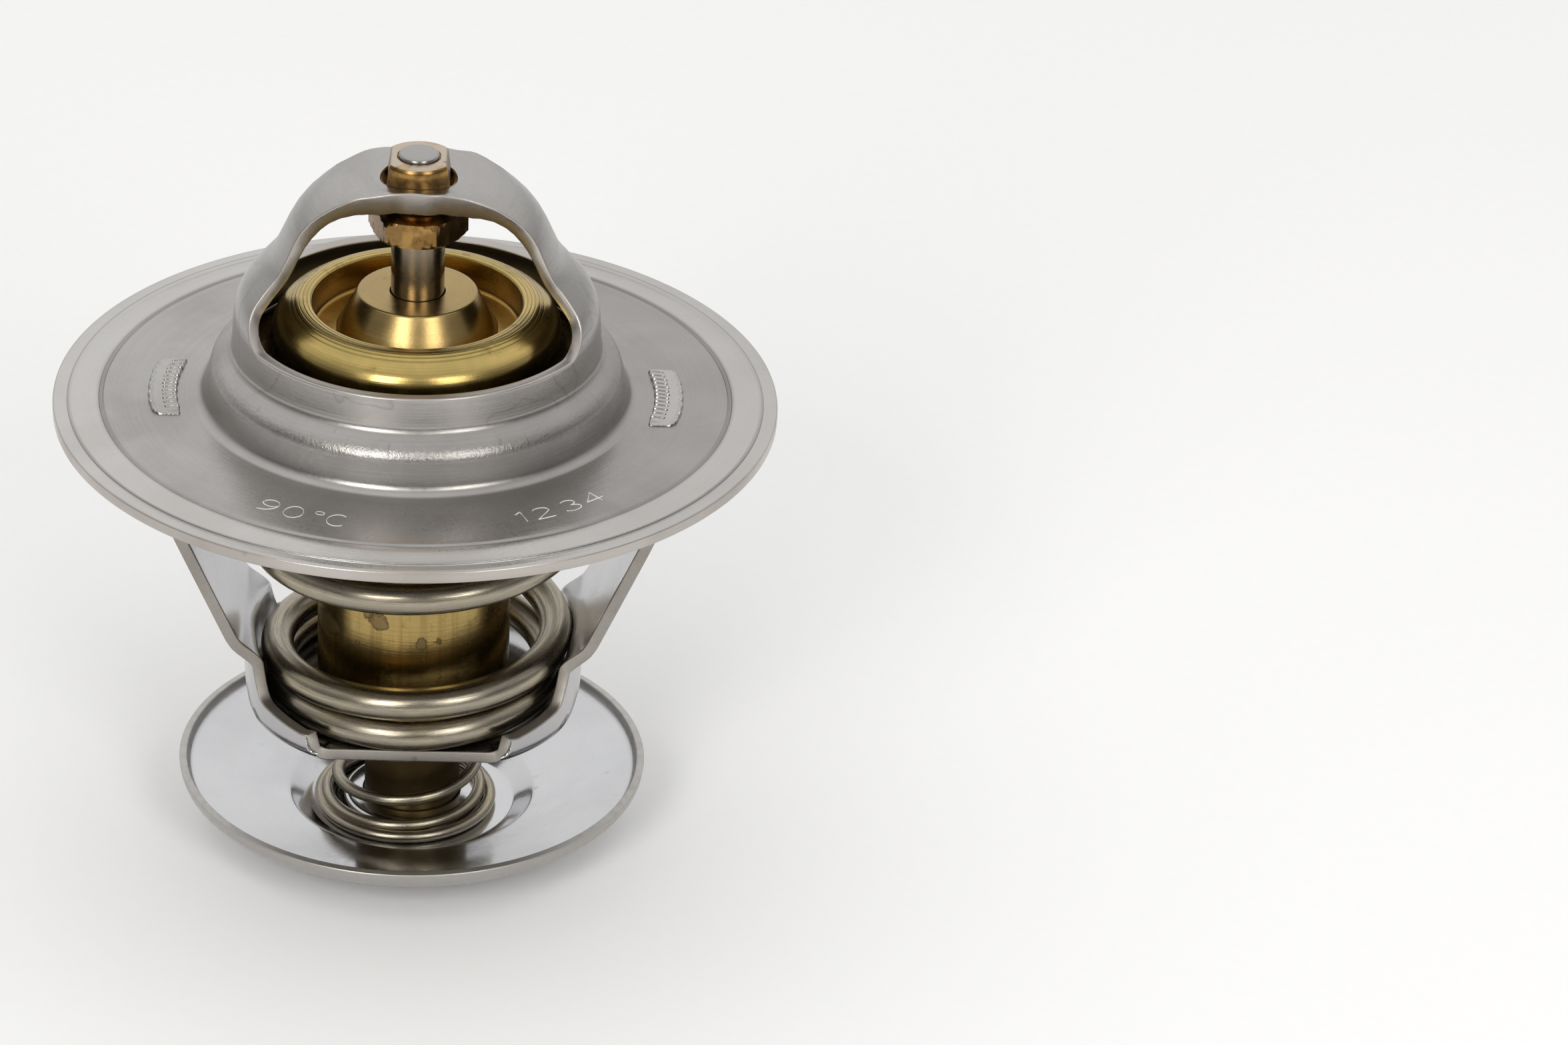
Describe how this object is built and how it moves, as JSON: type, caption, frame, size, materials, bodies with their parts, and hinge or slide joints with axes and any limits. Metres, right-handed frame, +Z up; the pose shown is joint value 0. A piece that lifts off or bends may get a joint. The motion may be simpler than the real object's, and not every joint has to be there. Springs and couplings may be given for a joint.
{
  "type": "engine thermostat",
  "caption": "Wax engine thermostat: pressed steel flange with a bridge, brass valve on a wax element, strap frame, heavy return spring, and a sprung bypass disc below.",
  "frame": {"origin": "on the piston's axis, on the surface that the bypass disc's foot stands on", "axes": "+Z up along the piston from the bypass disc to the bridge; the two arms of the lower frame lie on the X axis; -Y faces the picture's camera"},
  "size_m": [0.054, 0.054, 0.056],
  "materials": {
    "flange_steel": "dull brushed stainless",
    "frame_steel": "satin stainless",
    "disc_steel": "bright rolled stainless",
    "spring_steel": "drawn spring wire",
    "piston_steel": "ground steel",
    "clip_steel": "spring steel",
    "bush_brass": "dull turned brass",
    "valve_brass": "tarnished pressed brass",
    "case_brass": "drawn brass",
    "guide_brass": "turned brass",
    "sleeve_rubber": "moulded rubber",
    "wax": "hard wax"
  },
  "bodies": {
    "frame": {"flange_bridge": "flange_steel", "lower_frame": "frame_steel", "guide_bush": "bush_brass", "piston": "piston_steel", "main_spring": "spring_steel"},
    "valve": {"valve_plate": "valve_brass", "wax_case": "case_brass", "guide_cap": "guide_brass", "rubber_sleeve": "sleeve_rubber", "wax_charge": "wax", "stem_clip": "clip_steel", "bypass_spring": "spring_steel"},
    "bypass": {"bypass_disc": "disc_steel"}
  },
  "joints": [
    {"name": "valve_lift", "type": "slide", "parent": "frame", "child": "valve", "axis": [0, 0, -1], "range_m": [0, 0.008], "stiffness_N_per_m": 5000, "springref_m": -0.01, "deforming": ["main_spring"]},
    {"name": "bypass_slide", "type": "slide", "parent": "valve", "child": "bypass", "axis": [0, 0, 1], "range_m": [0, 0.004], "stiffness_N_per_m": 800, "springref_m": -0.006, "deforming": ["bypass_spring"]}
  ]
}
